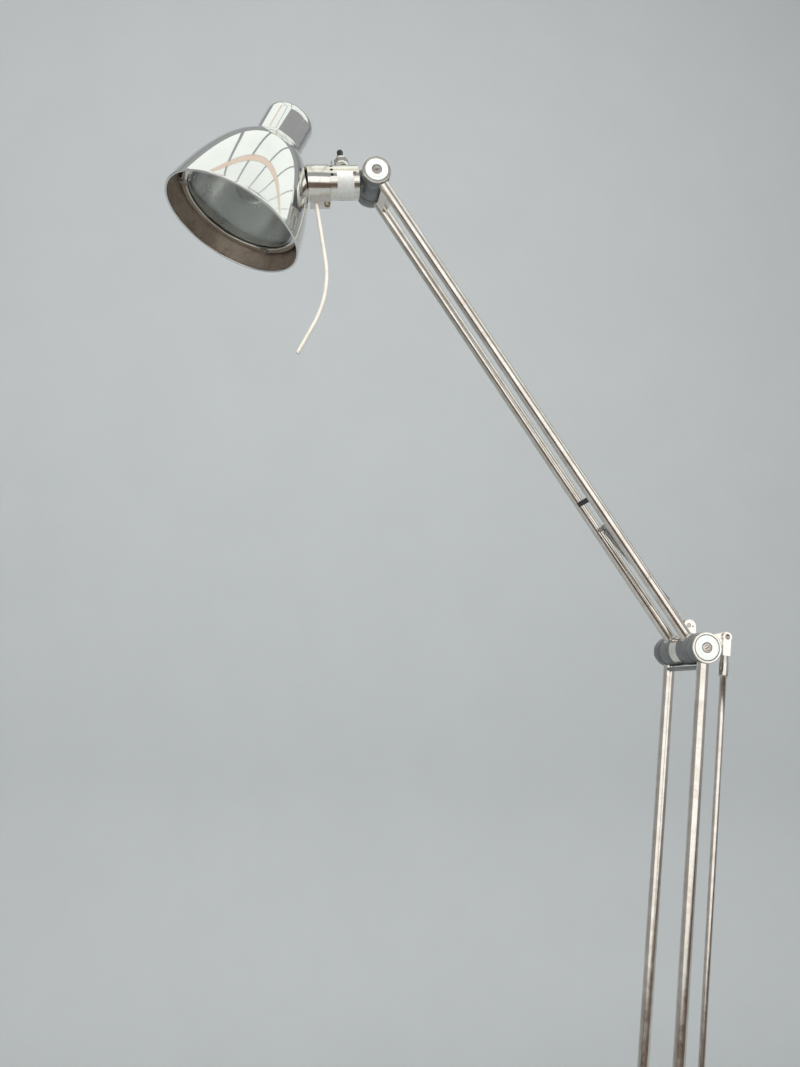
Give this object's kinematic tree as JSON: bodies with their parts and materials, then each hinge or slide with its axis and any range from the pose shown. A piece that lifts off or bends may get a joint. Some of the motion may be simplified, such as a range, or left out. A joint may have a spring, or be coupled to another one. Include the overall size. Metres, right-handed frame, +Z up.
{
  "type": "floor lamp",
  "caption": "Adjustable floor lamp: round weighted base, column, two spring-balanced arms of paired tubes with a levelling tie rod, and a tilting, swivelling metal dome shade.",
  "frame": {"origin": "centre of the round base, on the floor", "axes": "+Z up; the arms move in the XZ plane with the shade towards -X; every arm joint turns about Y"},
  "size_m": [0.6475, 0.3, 1.9457],
  "materials": {
    "polished_chrome": "polished",
    "nickel_tube": "satin, warm nickel",
    "satin_nickel": "satin",
    "cap_metal": "satin, pale",
    "hub_grey": "satin dark grey",
    "steel": "plain",
    "spring_steel": "drawn",
    "cast_iron": "as cast, painted",
    "black_rubber": "matt",
    "black_plastic": "gloss",
    "label_white": "matt film",
    "cream_sleeve": "satin",
    "reflector": "satin anodised",
    "clear_glass": "clear",
    "bulb_glass": "clear",
    "ceramic": "glazed"
  },
  "bodies": {
    "base": {"base_weight": "cast_iron", "base_cover": "polished_chrome", "base_feet": "black_rubber", "base_bolt": "steel", "cable_gland": "black_plastic", "column_flange": "nickel_tube", "column_tube": "nickel_tube", "column_plug": "steel", "swivel_socket": "satin_nickel"},
    "fork": {"swivel_post": "steel", "fork_yoke": "hub_grey", "fixed_lever": "satin_nickel", "lower_axle": "steel", "fixed_lever_pins": "steel"},
    "lower_arm": {"lower_tube_near": "nickel_tube", "lower_tube_far": "nickel_tube", "lower_foot_hubs": "hub_grey", "lower_foot_caps": "cap_metal", "lower_spring_pin": "steel", "lower_cross_bar": "black_rubber", "lower_spring": "spring_steel", "elbow_outer_hubs": "hub_grey", "elbow_bridge": "hub_grey", "elbow_axle": "steel", "elbow_caps": "cap_metal", "elbow_cap_screws": "steel"},
    "crank": {"crank_ring": "satin_nickel", "crank_pins": "steel"},
    "tie_rod": {"tie_rod": "nickel_tube", "tie_rod_ends": "satin_nickel"},
    "upper_arm": {"upper_tube_near": "nickel_tube", "upper_tube_far": "nickel_tube", "elbow_inner_hubs": "hub_grey", "rubber_cross_bar": "black_rubber", "upper_spring_pin": "steel", "upper_spring": "spring_steel", "top_hubs": "hub_grey", "top_bridge": "satin_nickel", "top_axle": "steel", "top_caps": "cap_metal", "top_cap_screws": "steel"},
    "head": {"head_hub": "hub_grey", "head_tube": "satin_nickel", "head_tube_screw": "steel", "blank_label": "label_white", "switch_body": "black_plastic", "switch_bushing": "satin_nickel", "switch_washer": "satin_nickel"},
    "switch_lever": {"toggle_lever": "black_plastic"},
    "shade": {"swivel_collar": "satin_nickel", "clamp_screw": "steel", "handle_rod": "cream_sleeve", "handle_tip": "cream_sleeve", "shade_shell": "polished_chrome", "inner_reflector": "reflector", "cover_glass": "clear_glass", "glass_clips": "steel", "lamp_holder": "ceramic", "bulb": "bulb_glass"}
  },
  "joints": [
    {"name": "base_swivel", "type": "hinge", "parent": "base", "child": "fork", "pos_m": [0, 0, 0.702], "axis": [0, 0, 1], "range_deg": [-170, 170]},
    {"name": "lower_tilt", "type": "hinge", "parent": "fork", "child": "lower_arm", "pos_m": [0, 0, 0.76], "axis": [0, 1, 0], "range_deg": [-45, 20], "deforming": ["lower_spring"]},
    {"name": "crank_level", "type": "hinge", "parent": "lower_arm", "child": "crank", "pos_m": [0.07059, 0, 1.36087], "axis": [0, 1, 0], "range_deg": [-21, 46]},
    {"name": "tie_rod_swing", "type": "hinge", "parent": "fork", "child": "tie_rod", "pos_m": [0.045, 0, 0.774], "axis": [0, 1, 0], "range_deg": [-46, 21]},
    {"name": "elbow_tilt", "type": "hinge", "parent": "crank", "child": "upper_arm", "pos_m": [0.07059, 0, 1.36087], "axis": [0, 1, 0], "range_deg": [-70, 29], "deforming": ["upper_spring"]},
    {"name": "head_tilt", "type": "hinge", "parent": "upper_arm", "child": "head", "pos_m": [-0.26597, 0, 1.86361], "axis": [0, 1, 0], "range_deg": [-45, 55]},
    {"name": "shade_swivel", "type": "hinge", "parent": "head", "child": "shade", "pos_m": [-0.32564, 0, 1.85734], "axis": [0.9945, 0, 0.1045], "range_deg": [-120, 120]},
    {"name": "switch_flip", "type": "hinge", "parent": "head", "child": "switch_lever", "pos_m": [-0.30124, 0, 1.88344], "axis": [0.9945, 0, 0.1045], "range_deg": [0, 20]}
  ],
  "couplings": [
    {"joint": "crank_level", "follows": "lower_tilt", "ratio": -1},
    {"joint": "tie_rod_swing", "follows": "lower_tilt", "ratio": 1}
  ]
}
